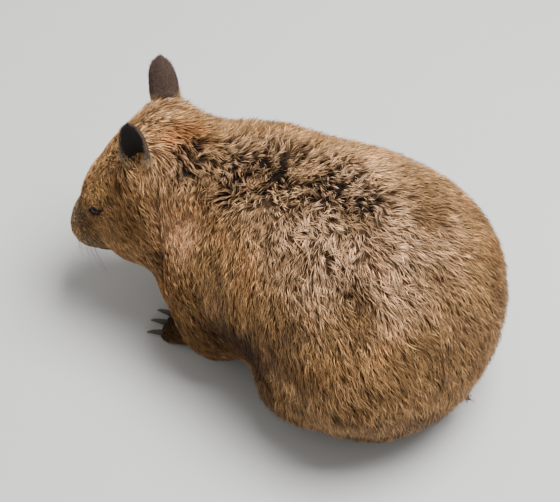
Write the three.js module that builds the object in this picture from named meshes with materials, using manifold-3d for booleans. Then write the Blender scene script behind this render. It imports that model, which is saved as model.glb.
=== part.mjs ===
// A southern hairy-nosed wombat at life size: it crouches on four short legs, with its back arched
// and its head lowered and turned to its left. The solids reach to the tips of the coat.
// Millimetres, +Z up. The muzzle points towards -Y, the animal's left is +X, the soles lie on Z = 0.
import * as THREE from 'three';
import { mergeVertices } from 'three/addons/utils/BufferGeometryUtils.js';
import Module from 'manifold-3d';

const wasm = await Module();
wasm.setup();

// Driving dimensions of the animal, with its coat.
const RUMP = { width: 264, length: 214, height: 276, y: 150, z: 128 };
const LOIN = { width: 260, length: 250, height: 246, y: 79, z: 161 };
const CHEST = { width: 224, length: 196, height: 210, y: -26, z: 142 };
const NECK = { chest: 81, nape: 66 };
const BELLY_HEIGHT = 15;
const HEAD = { width: 138, x: 29, y: -127, z: 204, turn: 30, drop: 35, roll: -13.5, chin: -82 };
const MUZZLE = { y: -112, z: -15, radius: 29 };
const EYE = { radius: 8.5, lid: 2.4, length: 21, slit: 6.6, turn: 8 };
const EAR = { length: 60, width: 32, cup: 25, wall: 3, x: 51, y: 16, z: 42, outward: 14, back: 28, facing: 6 };
const NOSE = { width: 50, height: 30, y: -122, z: -19 };
const FORE = { x: 68, y: -30, length: 76, width: 62, toe: 9.5, digits: 5, claws: 5, clawLength: 22, claw: 4.6 };
const HIND = { x: 64, y: 160, length: 104, width: 52, toe: 8.5, digits: 5, claws: 4, clawLength: 16, claw: 4 };
const FORE_LEG = { shoulder: 50, elbow: 42, wrist: 33, shoulderHeight: 130, elbowHeight: 84 };
const HIND_LEG = { hip: 72, knee: 48, heel: 32, hipHeight: 120, kneeHeight: 78 };
const TAIL = { length: 30, radius: 12, y: 229, z: 62 };

// Neighbouring pieces keep this gap.
const GAP = 0.3;
const SIDES = { left: 1, right: -1 };

const radians = THREE.MathUtils.degToRad;
const point = (x, y, z) => new THREE.Vector3(x, y, z);
const hair = (color) => new THREE.MeshStandardMaterial({ color, roughness: 0.9, metalness: 0 });
const coat = hair(0x8f6b4b);
const leather = hair(0x3d312b);
const horn = new THREE.MeshStandardMaterial({ color: 0x4a3d34, roughness: 0.55, metalness: 0 });
const wet = new THREE.MeshStandardMaterial({ color: 0x120d0a, roughness: 0.12, metalness: 0 });

// A field gives the distance from a point to the surface of a mass, and is negative inside it.
function ellipsoid(centre, half) {
  return (x, y, z) => {
    const [px, py, pz] = [(x - centre.x) / half.x, (y - centre.y) / half.y, (z - centre.z) / half.z];
    const near = Math.hypot(px, py, pz);
    const slope = Math.hypot(px / half.x, py / half.y, pz / half.z);
    return slope > 0 ? (near * (near - 1)) / slope : -Math.min(half.x, half.y, half.z);
  };
}

// A limb runs from one ball to another of a different size.
function limb(from, fromRadius, to, toRadius) {
  const [dx, dy, dz] = [to.x - from.x, to.y - from.y, to.z - from.z];
  const squared = dx * dx + dy * dy + dz * dz;
  return (x, y, z) => {
    const [px, py, pz] = [x - from.x, y - from.y, z - from.z];
    const along = Math.min(1, Math.max(0, (px * dx + py * dy + pz * dz) / squared));
    const across = Math.hypot(px - dx * along, py - dy * along, pz - dz * along);
    return across - (fromRadius + (toRadius - fromRadius) * along);
  };
}

// Masses flow into each other over the width of the blend.
function blended(blend, fields) {
  return (x, y, z) => {
    let total = fields[0](x, y, z);
    for (let i = 1; i < fields.length; i++) {
      const next = fields[i](x, y, z);
      const overlap = Math.max(blend - Math.abs(total - next), 0) / blend;
      total = Math.min(total, next) - (overlap * overlap * blend) / 4;
    }
    return total;
  };
}

// What is left of a mass without others, with rounded edges.
function without(blend, field, others) {
  return (x, y, z) => {
    let total = field(x, y, z);
    for (const other of others) {
      const hole = -other(x, y, z);
      const overlap = Math.max(blend - Math.abs(total - hole), 0) / blend;
      total = Math.max(total, hole) + (overlap * overlap * blend) / 4;
    }
    return total;
  };
}

// The field as it is seen from another frame.
function seenFrom(frame, field) {
  const e = frame.elements;
  return (x, y, z) =>
    field(
      e[0] * x + e[4] * y + e[8] * z + e[12],
      e[1] * x + e[5] * y + e[9] * z + e[13],
      e[2] * x + e[6] * y + e[10] * z + e[14],
    );
}

function frameAt(at, turn, drop = 0, roll = 0) {
  const spin = new THREE.Euler(radians(drop), radians(roll), radians(turn), 'ZXY');
  return new THREE.Matrix4().compose(at, new THREE.Quaternion().setFromEuler(spin), point(1, 1, 1));
}

const headAt = point(HEAD.x, HEAD.y, HEAD.z);
const headFrame = frameAt(headAt, HEAD.turn, HEAD.drop, HEAD.roll);

// The head in its own frame: level, the muzzle towards -Y, the origin in the middle of the skull.
function headField() {
  const half = HEAD.width / 2;
  const { y, z, radius } = MUZZLE;
  const masses = [
    ellipsoid(point(0, 0, 2), point(half - 8, 62, 57)),
    ellipsoid(point(0, -42, 0), point(half - 18, 60, 43)),
    limb(point(0, -60, -16), 36, point(0, y + 8, z - 6), radius),
    limb(point(0, -20, -36), 38, point(0, y + 22, z - 33), 26),
  ];
  for (const side of [1, -1]) {
    masses.push(ellipsoid(point(side * (half - 35), -36, -35), point(36, 54, 44)));
    masses.push(ellipsoid(point(side * 17, y + 6, z - 8), point(19, 22, 19)));
    masses.push(ellipsoid(point(side * 30, -62, 13), point(18, 24, 14)));
    masses.push(ellipsoid(point(side * (EAR.x - 10), EAR.y - 4, EAR.z - 14), point(24, 32, 28)));
  }
  const dents = [1, -1].map((side) =>
    ellipsoid(point(side * (EAR.x + 8), EAR.y + 1, EAR.z + 4), point(13, 9, 30)),
  );
  return without(6, blended(20, masses), dents);
}

function trunkField() {
  const [rump, loin, chest] = [RUMP, LOIN, CHEST].map((mass) =>
    ellipsoid(point(0, mass.y, mass.z), point(mass.width / 2, mass.length / 2, mass.height / 2)),
  );
  const shoulders = point(0, CHEST.y - 30, CHEST.z + 18);
  const skull = point(HEAD.x - 2, HEAD.y + 12, HEAD.z - 4);
  const neck = limb(shoulders, NECK.chest, skull, NECK.nape);
  return blended(60, [rump, loin, chest, neck]);
}

function foreLegField(side) {
  const shoulder = point(side * 74, CHEST.y - 15, FORE_LEG.shoulderHeight);
  const elbow = point(side * 80, CHEST.y + 6, FORE_LEG.elbowHeight);
  const wrist = point(side * FORE.x, FORE.y, 34);
  const upper = limb(shoulder, FORE_LEG.shoulder, elbow, FORE_LEG.elbow);
  return blended(30, [upper, limb(elbow, FORE_LEG.elbow, wrist, FORE_LEG.wrist)]);
}

function hindLegField(side) {
  const hip = point(side * 74, RUMP.y - 14, HIND_LEG.hipHeight);
  const knee = point(side * 86, RUMP.y - 56, HIND_LEG.kneeHeight);
  const heel = point(side * HIND.x, HIND.y, 36);
  const thigh = limb(hip, HIND_LEG.hip, knee, HIND_LEG.knee);
  return blended(40, [thigh, limb(knee, HIND_LEG.knee - 6, heel, HIND_LEG.heel)]);
}

function bodyField() {
  const masses = [trunkField()];
  for (const side of [1, -1]) masses.push(foreLegField(side), hindLegField(side));
  const trunk = without(24, blended(26, masses), [(x, y, z) => z - BELLY_HEIGHT]);
  return blended(26, [trunk, seenFrom(headFrame.clone().invert(), headField())]);
}

// A broad paw: a heel, a palm and short toes that fan out towards -Y.
function toesOf(foot, side) {
  return [...Array(foot.digits).keys()].map((i) => {
    const spread = (i / (foot.digits - 1) - 0.5) * 2;
    const reach = foot.length * (0.5 - 0.1 * spread * spread);
    const root = point(side * foot.x + spread * foot.width * 0.26, foot.y - foot.length * 0.46, foot.toe + 5);
    const tip = point(side * foot.x + spread * foot.width * 0.4, root.y - reach + foot.toe, foot.toe - 1.2);
    return { root, tip, spread };
  });
}

function pawField(foot, side) {
  const palm = point(side * foot.x, foot.y - foot.length * 0.36, 17);
  const heel = point(side * foot.x, foot.y, 19);
  const ankle = point(side * foot.x, foot.y, 44);
  const masses = [limb(palm, foot.width * 0.38, heel, 21), limb(heel, 22, ankle, 24)];
  for (const { root, tip } of toesOf(foot, side)) masses.push(limb(root, foot.toe + 2, tip, foot.toe));
  return blended(7, masses);
}

// The surface of a field inside a box, with one vertex in each cell that the surface passes through.
// The box closes what it cuts off, so each piece is cut from it well inside the box.
function surfaceOf(field, low, high, cell) {
  const [nx, ny, nz] = ['x', 'y', 'z'].map((k) => Math.ceil((high[k] - low[k]) / cell) + 1);
  const at = (i, j, k) => i + nx * (j + ny * k);
  const value = new Float64Array(nx * ny * nz);
  for (let k = 0; k < nz; k++)
    for (let j = 0; j < ny; j++)
      for (let i = 0; i < nx; i++) {
        const rim = i === 0 || j === 0 || k === 0 || i === nx - 1 || j === ny - 1 || k === nz - 1;
        const here = field(low.x + i * cell, low.y + j * cell, low.z + k * cell);
        value[at(i, j, k)] = rim ? Math.max(here, cell / 2) : here;
      }
  const corners = [0, 1, 2, 3, 4, 5, 6, 7].map((n) => [n & 1, (n >> 1) & 1, n >> 2]);
  const edges = [];
  for (let a = 0; a < 8; a++) for (const bit of [1, 2, 4]) if (!(a & bit)) edges.push([a, a | bit]);
  const vertexOf = new Int32Array(nx * ny * nz).fill(-1);
  const vertices = [];
  for (let k = 0; k < nz - 1; k++)
    for (let j = 0; j < ny - 1; j++)
      for (let i = 0; i < nx - 1; i++) {
        const v = corners.map(([a, b, c]) => value[at(i + a, j + b, k + c)]);
        const crossings = edges.filter(([a, b]) => v[a] < 0 !== v[b] < 0);
        if (!crossings.length) continue;
        const middle = point(0, 0, 0);
        for (const [a, b] of crossings) {
          const t = v[a] / (v[a] - v[b]);
          middle.add(point(...corners[a]).lerp(point(...corners[b]), t));
        }
        middle.divideScalar(crossings.length).add(point(i, j, k)).multiplyScalar(cell).add(low);
        const rim = i < 1 || j < 1 || k < 1 || i > nx - 3 || j > ny - 3 || k > nz - 3;
        vertexOf[at(i, j, k)] = vertices.length;
        vertices.push(rim ? middle : settled(field, middle, cell));
      }
  const faces = [];
  const steps = [[1, 0, 0], [0, 1, 0], [0, 0, 1]];
  for (let k = 0; k < nz - 1; k++)
    for (let j = 0; j < ny - 1; j++)
      for (let i = 0; i < nx - 1; i++)
        for (let axis = 0; axis < 3; axis++) {
          if ([i, j, k].some((n, other) => other !== axis && n === 0)) continue;
          const [u, v, w] = [steps[(axis + 1) % 3], steps[(axis + 2) % 3], steps[axis]];
          const [a, b] = [value[at(i, j, k)], value[at(i + w[0], j + w[1], k + w[2])]];
          if (a < 0 === b < 0) continue;
          const ring = [[1, 1], [0, 1], [0, 0], [1, 0]].map(
            ([m, n]) => {
              const [di, dj, dk] = [0, 1, 2].map((d) => m * u[d] + n * v[d]);
              return vertexOf[at(i - di, j - dj, k - dk)];
            },
          );
          if (a >= 0) ring.reverse();
          const [p, q, r, s] = ring.map((n) => vertices[n]);
          const [c0, c1, c2, c3] = ring;
          const short = p.distanceToSquared(r) <= q.distanceToSquared(s);
          faces.push(...(short ? [c0, c1, c2, c0, c2, c3] : [c0, c1, c3, c1, c2, c3]));
        }
  const positions = new Float32Array(vertices.flatMap((v) => v.toArray()));
  return new THREE.BufferGeometry()
    .setAttribute('position', new THREE.BufferAttribute(positions, 3))
    .setIndex(faces);
}

function slopeOf(field, q, h) {
  return point(
    field(q.x + h, q.y, q.z) - field(q.x - h, q.y, q.z),
    field(q.x, q.y + h, q.z) - field(q.x, q.y - h, q.z),
    field(q.x, q.y, q.z + h) - field(q.x, q.y, q.z - h),
  ).divideScalar(2 * h);
}

// Moves a vertex along the slope of the field until it lies on the surface.
function settled(field, p, cell) {
  const q = p.clone();
  for (let n = 0; n < 4; n++) {
    const slope = slopeOf(field, q, cell * 0.05);
    const shift = -field(q.x, q.y, q.z) / Math.max(slope.lengthSq(), 1e-6);
    q.addScaledVector(slope, THREE.MathUtils.clamp(shift, -cell / 3, cell / 3));
  }
  return q.distanceTo(p) < cell * 0.7 ? q : p;
}

// Where a ray that starts inside a mass comes out of it.
function wayOut(field, from, direction) {
  let [near, far] = [0, 200];
  for (let n = 0; n < 40; n++) {
    const middle = (near + far) / 2;
    const p = from.clone().addScaledVector(direction, middle);
    if (field(p.x, p.y, p.z) < 0) near = middle;
    else far = middle;
  }
  return from.clone().addScaledVector(direction, near);
}

// The same surface moved out by a distance, for the seat that a piece leaves in its neighbour.
function grown(geometry, distance) {
  const copy = geometry.clone();
  copy.computeVertexNormals();
  const position = copy.getAttribute('position');
  const normal = copy.getAttribute('normal');
  for (let i = 0; i < position.count; i++) {
    const p = point(0, 0, 0).fromBufferAttribute(position, i);
    p.addScaledVector(point(0, 0, 0).fromBufferAttribute(normal, i), distance);
    position.setXYZ(i, p.x, p.y, p.z);
  }
  copy.deleteAttribute('normal');
  return copy;
}

// Solids are joined and cut, and a node keeps the largest closed surface of what is left.
function solidOf(geometry) {
  const bare = geometry.clone();
  for (const name of ['normal', 'uv']) bare.deleteAttribute(name);
  const merged = mergeVertices(bare, 1e-3);
  return new wasm.Manifold(
    new wasm.Mesh({
      numProp: 3,
      vertProperties: new Float32Array(merged.getAttribute('position').array),
      triVerts: new Uint32Array(merged.index.array),
    }),
  );
}

function geometryOf(solid) {
  const largest = solid.decompose().reduce((a, b) => (b.volume() > a.volume() ? b : a));
  const found = largest.getMesh();
  return new THREE.BufferGeometry()
    .setAttribute('position', new THREE.BufferAttribute(found.vertProperties.slice(), 3))
    .setIndex(new THREE.BufferAttribute(found.triVerts.slice(), 1));
}

function block(frame, low, high) {
  const size = high.clone().sub(low);
  return solidOf(
    new THREE.BoxGeometry(size.x, size.y, size.z)
      .translate((low.x + high.x) / 2, (low.y + high.y) / 2, (low.z + high.z) / 2)
      .applyMatrix4(frame),
  );
}

function ball(centre, radius, detail = 2) {
  return solidOf(new THREE.IcosahedronGeometry(radius, detail).translate(centre.x, centre.y, centre.z));
}

function cutAll(solid, cutters) {
  return cutters.reduce((left, cutter) => left.subtract(cutter), solid);
}

// A lens is what two large balls share: its rim is sharp, like the corners of an eye.
function lens(length, height) {
  const radius = (length * length + height * height) / (4 * height);
  const shape = [1, -1].map((up) => ball(point(0, 0, up * (radius - height / 2)), radius, 5));
  return shape[0].intersect(shape[1]);
}

const group = new THREE.Group();
function add(name, geometry, material) {
  const mesh = new THREE.Mesh(geometry, material);
  mesh.name = name;
  group.add(mesh);
}

// The body is parted behind the head, in front of the shoulders and round each leg.
const body = bodyField();
const FAR = 700;
const nape = frameAt(headAt.clone().add(point(-10, 20, 0)), HEAD.turn);
const withers = frameAt(point(4, -62, 0), 14);
const half = GAP / 2;
const behind = (frame, margin) => block(frame, point(-FAR, margin, -FAR), point(FAR, FAR, FAR));
const before = (frame, margin) => block(frame, point(-FAR, -FAR, -FAR), point(FAR, -margin, FAR));
const overChin = (margin) => block(headFrame, point(-FAR, -FAR, HEAD.chin + margin), point(FAR, FAR, FAR));
const headRoom = (margin) => before(nape, margin).intersect(overChin(margin));

function legBlocks(side, margin) {
  const fore = frameAt(point(side * 30, CHEST.y, 0), side * -4, 12);
  const hind = frameAt(point(side * 26, RUMP.y - 20, 0), 0, -10);
  const width = 150;
  const across = (near) => (side > 0 ? [near - margin, width] : [-width, margin - near]);
  const [foreX, hindX] = [across(0), across(0)];
  return {
    fore: block(fore, point(foreX[0], -86 - margin, -60), point(foreX[1], 44 + margin, 86 + margin)),
    hind: block(hind, point(hindX[0], -118 - margin, -60), point(hindX[1], 84 + margin, 98 + margin)),
  };
}

function footGeometry(foot, side) {
  const low = point(side * foot.x - 60, foot.y - foot.length - 20, -20);
  const high = point(side * foot.x + 60, foot.y + 50, 90);
  const floor = block(new THREE.Matrix4(), point(-FAR, -FAR, 0), point(FAR, FAR, 40));
  return geometryOf(solidOf(surfaceOf(pawField(foot, side), low, high, 8)).intersect(floor));
}

// A claw is a tapered horn that curves down from the toe.
function clawGeometry(foot, side, { tip, spread }) {
  const length = foot.clawLength;
  const turn = radians(spread * 14);
  const ahead = (forward, up) =>
    point(tip.x + Math.sin(turn) * forward, tip.y - Math.cos(turn) * forward, tip.z + up);
  const end = ahead(length + 4, -tip.z + 2);
  const path = new THREE.QuadraticBezierCurve3(ahead(0, 1), ahead(length * 0.75, 3), end);
  const [stations, sides] = [4, 6];
  const positions = [];
  const faces = [];
  for (let s = 0; s <= stations; s++) {
    const at = path.getPoint(s / stations);
    const along = path.getTangent(s / stations);
    const flat = point(along.y, -along.x, 0).normalize();
    const up = flat.clone().cross(along).normalize();
    const thick = foot.claw * (1 - 0.78 * (s / stations) ** 1.4);
    for (let n = 0; n < sides; n++) {
      const angle = (n / sides) * Math.PI * 2;
      const p = at.clone().addScaledVector(flat, Math.cos(angle) * thick);
      p.addScaledVector(up, Math.sin(angle) * thick * 0.9);
      positions.push(...p.toArray());
      if (s === stations) continue;
      const [a, b] = [s * sides + n, s * sides + ((n + 1) % sides)];
      faces.push(a, a + sides, b, b, a + sides, b + sides);
    }
  }
  const last = stations * sides;
  for (let n = 1; n < sides - 1; n++) faces.push(0, n, n + 1, last, last + n + 1, last + n);
  return new THREE.BufferGeometry()
    .setAttribute('position', new THREE.Float32BufferAttribute(positions, 3))
    .setIndex(faces);
}

const feet = [];
for (const [name, side] of Object.entries(SIDES)) {
  for (const [limbName, foot] of Object.entries({ fore: FORE, hind: HIND })) {
    const paw = footGeometry(foot, side);
    const seat = solidOf(grown(paw, GAP));
    feet.push(seat);
    add(`${limbName}foot_${name}`, paw, leather);
    const toes = toesOf(foot, side);
    const clawed = foot.claws < foot.digits ? toes.filter((toe) => toe.spread * side > -0.9) : toes;
    clawed.forEach((toe, i) => {
      const claw = solidOf(clawGeometry(foot, side, toe)).subtract(seat);
      add(`${limbName}foot_${name}_claw_${i + 1}`, geometryOf(claw), horn);
    });
  }
}

// The stub of the tail comes out of the coat under the rump.
const tailField = limb(
  point(0, TAIL.y - TAIL.length, TAIL.z + 8),
  TAIL.radius + 4,
  point(0, TAIL.y + TAIL.length * 0.5, TAIL.z - 12),
  TAIL.radius * 0.6,
);
const tailLow = point(-40, TAIL.y - 80, TAIL.z - 50);
const tailWhole = surfaceOf(tailField, tailLow, tailLow.clone().addScalar(160), 8);
const tailRoot = solidOf(grown(tailWhole, GAP));
const insideRump = block(new THREE.Matrix4(), point(-50, 0, 0), point(50, TAIL.y - 20, 200));
add('tail', geometryOf(solidOf(tailWhole).subtract(insideRump)), coat);

// The trunk, the neck and the legs are cut from the body, each at a cell that suits its curves.
const trunkCuts = [...feet, tailRoot];
for (const [name, side] of Object.entries(SIDES)) {
  const inside = legBlocks(side, -half);
  const outside = legBlocks(side, half);
  trunkCuts.push(outside.fore, outside.hind);
  const low = point(side > 0 ? -20 : -180, -150, -20);
  const flank = solidOf(surfaceOf(body, low, point(low.x + 200, 290, 180), 18));
  for (const limbName of ['fore', 'hind']) {
    const leg = cutAll(flank.intersect(inside[limbName]), feet);
    add(`${limbName}leg_${name}`, geometryOf(leg), coat);
  }
}
const barrel = solidOf(surfaceOf(body, point(-190, -180, -30), point(190, 320, 340), 22));
add('torso', geometryOf(cutAll(barrel.intersect(behind(withers, half)), trunkCuts)), coat);
const throat = solidOf(surfaceOf(body, point(-170, -260, -30), point(170, 30, 320), 18));
const collar = throat.intersect(before(withers, half)).subtract(headRoom(-half));
add('neck', geometryOf(cutAll(collar, trunkCuts)), coat);

// The head is made level in its own frame, and its pieces are turned into place together.
const headBody = seenFrom(headFrame, body);
const fromRow = headFrame.clone().invert();
const headShape = surfaceOf(headBody, point(-120, -160, -130), point(120, 110, 110), 10);
let head = solidOf(headShape).intersect(headRoom(half).transform(fromRow.elements));

const addToHead = (name, solid, material) => {
  add(name, geometryOf(solid).applyMatrix4(headFrame), material);
};

// The nose is a broad pad over the lip, with a nostril on each side.
const wing = point(NOSE.width * 0.24, 14, NOSE.height * 0.42);
const noseField = blended(10, [
  ellipsoid(point(0, NOSE.y, NOSE.z + 2), point(NOSE.width * 0.36, 15, NOSE.height * 0.5)),
  ellipsoid(point(NOSE.width * 0.28, NOSE.y + 3, NOSE.z - 2), wing),
  ellipsoid(point(NOSE.width * -0.28, NOSE.y + 3, NOSE.z - 2), wing),
]);
const noseLow = point(-40, NOSE.y - 30, NOSE.z - 30);
const noseShape = surfaceOf(noseField, noseLow, noseLow.clone().add(point(80, 60, 60)), 6.5);
const nostrils = [1, -1].map((side) => {
  const mouthOfNostril = point(side * NOSE.width * 0.27, NOSE.y - 10, NOSE.z - 4);
  const hole = new THREE.IcosahedronGeometry(1, 1).scale(5.5, 10, 4.2);
  return solidOf(hole.applyMatrix4(frameAt(mouthOfNostril, side * 35, 0, side * 30)));
});
head = head.subtract(solidOf(grown(noseShape, GAP)));
addToHead('nose', cutAll(solidOf(noseShape), nostrils), leather);

// The line of the mouth runs from under the nose back along both sides of the muzzle.
const mouthHeart = point(0, -86, -46);
const mouthPoints = [...Array(13).keys()].map((i) => {
  const angle = radians(-108 + (216 * i) / 12);
  const fall = -0.08 - 0.1 * Math.abs(Math.sin(angle));
  return wayOut(headBody, mouthHeart, point(Math.sin(angle), -Math.cos(angle), fall).normalize());
});
const bead = new THREE.Shape().absarc(0, 0, 2.4, 0, Math.PI * 2);
const mouth = new THREE.ExtrudeGeometry(bead, {
  steps: 24,
  curveSegments: 4,
  bevelEnabled: false,
  extrudePath: new THREE.CatmullRomCurve3(mouthPoints),
});
head = head.subtract(solidOf(mouth));

// Each eye lies under lids that open in a narrow slit.
for (const [name, side] of Object.entries(SIDES)) {
  const look = point(side * 0.87, -0.48, 0.12).normalize();
  const front = wayOut(headBody, point(0, -36, 7), look);
  const centre = front.clone().addScaledVector(look, 1 - EYE.radius);
  const slit = frameAt(front.clone().addScaledVector(look, 1), side * 62, 0, side * -EYE.turn);
  const opening = lens(EYE.length, EYE.slit).transform(slit.elements);
  head = head.add(ball(centre, EYE.radius + EYE.lid));
  head = cutAll(head, [ball(centre, EYE.radius + GAP), opening]);
  addToHead(`eye_${name}`, ball(centre, EYE.radius), wet);
}

// An ear is a pointed cup: each section is an arc with a wall, wide open in the middle of the ear
// and rolled nearly shut at its root.
function earGeometry(side) {
  const [stations, spans] = [9, 10];
  const positions = [];
  const faces = [];
  const ring = 2 * (spans + 1);
  for (let s = 0; s <= stations; s++) {
    const t = s / stations;
    const taper = Math.sqrt(Math.max(1 - t ** 3.2, 0.02));
    const width = (EAR.width / 2) * (0.6 + 1.1 * t - 0.55 * t * t) * taper;
    const open = radians(160 - 82 * Math.min(1, t * 1.35));
    const wall = EAR.wall * (1.25 - 0.5 * t);
    const depth = Math.min(EAR.cup / 2, width * 0.9) * (1.1 - 0.45 * t);
    for (let layer = 0; layer < 2; layer++)
      for (let n = 0; n <= spans; n++) {
        const a = (layer ? 1 - (2 * n) / spans : (2 * n) / spans - 1) * open;
        const inset = layer ? wall : 0;
        const x = (width - inset) * Math.sin(a) * (open > Math.PI / 2 ? 1 : 1 / Math.sin(open));
        const y = (depth - inset) * Math.cos(a);
        const z = -14 + (EAR.length + 14) * t - 1.2 * Math.abs(x / width) * t;
        positions.push(x * side, y - depth * 0.3 + 5 * t * t, z);
      }
    if (s === stations) continue;
    for (let n = 0; n < ring; n++) {
      const [a, b] = [s * ring + n, s * ring + ((n + 1) % ring)];
      faces.push(a, b, b + ring, a, b + ring, a + ring);
    }
  }
  for (const base of [0, stations * ring])
    for (let n = 0; n < spans; n++) {
      const [a, b, c, d] = [base + n, base + n + 1, base + ring - 2 - n, base + ring - 1 - n];
      faces.push(...(base ? [a, b, c, a, c, d] : [a, c, b, a, d, c]));
    }
  if (side > 0) faces.reverse();
  return new THREE.BufferGeometry()
    .setAttribute('position', new THREE.Float32BufferAttribute(positions, 3))
    .setIndex(faces);
}

const headSeat = solidOf(grown(headShape, GAP));
for (const [name, side] of Object.entries(SIDES)) {
  const lean = frameAt(point(0, 0, 0), 0, -EAR.back, side * EAR.outward);
  const ear = earGeometry(side).applyMatrix4(frameAt(point(0, 0, 0), side * (90 - EAR.facing)));
  ear.applyMatrix4(lean).translate(side * EAR.x, EAR.y, EAR.z);
  addToHead(`ear_${name}`, solidOf(ear).subtract(headSeat), leather);
}
addToHead('head', head, coat);

// The origin is on the floor, under the middle of the animal.
const box = new THREE.Box3().setFromObject(group);
const middle = box.getCenter(point(0, 0, 0));
for (const mesh of group.children) mesh.geometry.translate(-middle.x, -middle.y, 0);

export default group;
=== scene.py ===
"""A southern hairy-nosed wombat at life size, crouching with its back arched and its head lowered and
turned to its left. Metres, +Z up. The muzzle points towards -Y, the animal's left is +X."""
import math

import bmesh
import bpy
import numpy as np
from mathutils import Matrix, Vector, kdtree, noise
from mathutils.bvhtree import BVHTree


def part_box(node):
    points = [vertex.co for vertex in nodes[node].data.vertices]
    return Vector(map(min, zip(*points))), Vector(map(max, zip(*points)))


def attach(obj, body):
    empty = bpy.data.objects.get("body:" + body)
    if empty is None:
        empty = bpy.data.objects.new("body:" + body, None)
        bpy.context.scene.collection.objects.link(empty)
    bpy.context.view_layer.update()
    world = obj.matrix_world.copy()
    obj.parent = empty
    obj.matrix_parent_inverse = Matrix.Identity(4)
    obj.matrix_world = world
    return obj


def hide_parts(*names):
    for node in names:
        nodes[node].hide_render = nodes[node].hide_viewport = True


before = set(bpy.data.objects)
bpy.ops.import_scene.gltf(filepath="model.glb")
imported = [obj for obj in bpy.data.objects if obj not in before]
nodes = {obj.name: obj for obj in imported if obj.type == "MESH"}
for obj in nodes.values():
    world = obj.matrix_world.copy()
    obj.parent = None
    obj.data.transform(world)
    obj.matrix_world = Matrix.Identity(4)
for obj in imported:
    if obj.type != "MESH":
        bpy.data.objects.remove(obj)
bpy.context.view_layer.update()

MM = 0.001
DRAW = np.random.default_rng(27)


# The hide. One skin covers the animal from its nose to the stub of its tail and down to its soles. It
# is cast over the solids of the flesh, and drawn in from them by the depth of the coat. Lids, nostrils
# and lips are modelled in it.
HIDE_VOXEL, OVERLAP = 2.9 * MM, 0.35 * MM
FINER_REACHES = (24, 15.5)
FLESH = [name for name in nodes if not name.startswith(("ear_", "eye_")) and "claw" not in name]
EYE_AT = {side: sum(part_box(f"eye_{side}"), Vector()) / 2 for side in ("left", "right")}
EYE_RADIUS = (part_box("eye_left")[1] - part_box("eye_left")[0]).z / 2 / MM
HEAD_AT = np.array((EYE_AT["left"] + EYE_AT["right"]) / 2)
HEAD_TURN, HEAD_DROP, HEAD_ROLL = math.radians(30), math.radians(35), math.radians(-13.5)
HEAD_TILT = np.array(
    Matrix.Rotation(HEAD_TURN, 3, "Z")
    @ Matrix.Rotation(HEAD_DROP, 3, "X")
    @ Matrix.Rotation(HEAD_ROLL, 3, "Y")
)
# Places on the head, in millimetres from between the eyes, on the left: x left, y back, z up.
EYE = np.array([46.0, 0.0, 0.0])
EAR_BASE = np.array([51.0, 77.4, 28.7])
NOSTRIL = np.array([13.2, -71.5, -35.5])
NOSE_MIDDLE, NOSE_SPAN = np.array([0.0, -70.0, -33.0]), np.array([27.0, 17.0, 17.5])
MOUTH_HEART, MOUTH_TURN, MOUTH_STEPS = np.array([0.0, -24.6, -59.3]), 104, 240
FOLD_DEPTH = 3.0 * MM
TAIL = np.array(sum(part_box("tail"), Vector()) / 2) / MM


def points_of(mesh):
    places = np.empty(len(mesh.vertices) * 3, np.float32)
    mesh.vertices.foreach_get("co", places)
    return places.reshape(-1, 3).astype(float)


def normals_of(mesh):
    found = np.empty(len(mesh.vertices) * 3, np.float32)
    mesh.vertices.foreach_get("normal", found)
    return found.reshape(-1, 3).astype(float)


def put_points(mesh, places):
    mesh.vertices.foreach_set("co", places.astype(np.float32).ravel())
    mesh.update()


def unit(vectors):
    return vectors / np.maximum(np.linalg.norm(vectors, axis=-1, keepdims=True), 1e-9)


def distance(places, centre):
    return np.linalg.norm(places - centre, axis=1)


def in_head(places):
    """Places in metres as places on the head, in millimetres."""
    return (places - HEAD_AT) @ HEAD_TILT / MM


def from_head(places):
    return np.asarray(places) @ HEAD_TILT.T * MM + HEAD_AT


def left_half(head):
    """The same places on the head, those on the right side mirrored to the left."""
    return np.column_stack([np.abs(head[:, 0]), head[:, 1], head[:, 2]])


def ramp(values, start, end):
    """Rises smoothly from 0 at the start to 1 at the end."""
    share = np.clip((values - start) / (end - start), 0, 1)
    return share * share * (3 - 2 * share)


def blend(first, second, share):
    return first + (second - first) * share


def spot(places, centre, radii):
    """1 in the middle of an ellipsoid, falling smoothly to 0 at its edge."""
    return 1 - ramp(np.linalg.norm((places - np.array(centre)) / np.array(radii), axis=1), 0, 1)


def ridge(values, width):
    """1 where the values are 0, falling off evenly to both sides."""
    return np.exp(-((values / width) ** 2))


def nearest_of(centres, places):
    """For each place, which centre is nearest and how far off it is."""
    tree = kdtree.KDTree(len(centres))
    for index, centre in enumerate(centres):
        tree.insert(centre, index)
    tree.balance()
    found = [tree.find(place)[1:] for place in places]
    return np.array([index for index, _ in found]), np.array([reach for _, reach in found])


def merged_copy(names, swell):
    """One mesh of the named solids, each grown a little so that they overlap."""
    mould = bmesh.new()
    for name in names:
        mould.from_mesh(nodes[name].data)
    bmesh.ops.remove_doubles(mould, verts=mould.verts, dist=0.01 * MM)
    mould.normal_update()
    for vert in mould.verts:
        vert.co += vert.normal * swell
    mesh = bpy.data.meshes.new("mould")
    mould.to_mesh(mesh)
    mould.free()
    return mesh


def placed(name, mesh):
    piece = bpy.data.objects.new(name, mesh)
    bpy.context.scene.collection.objects.link(piece)
    return piece


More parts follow.
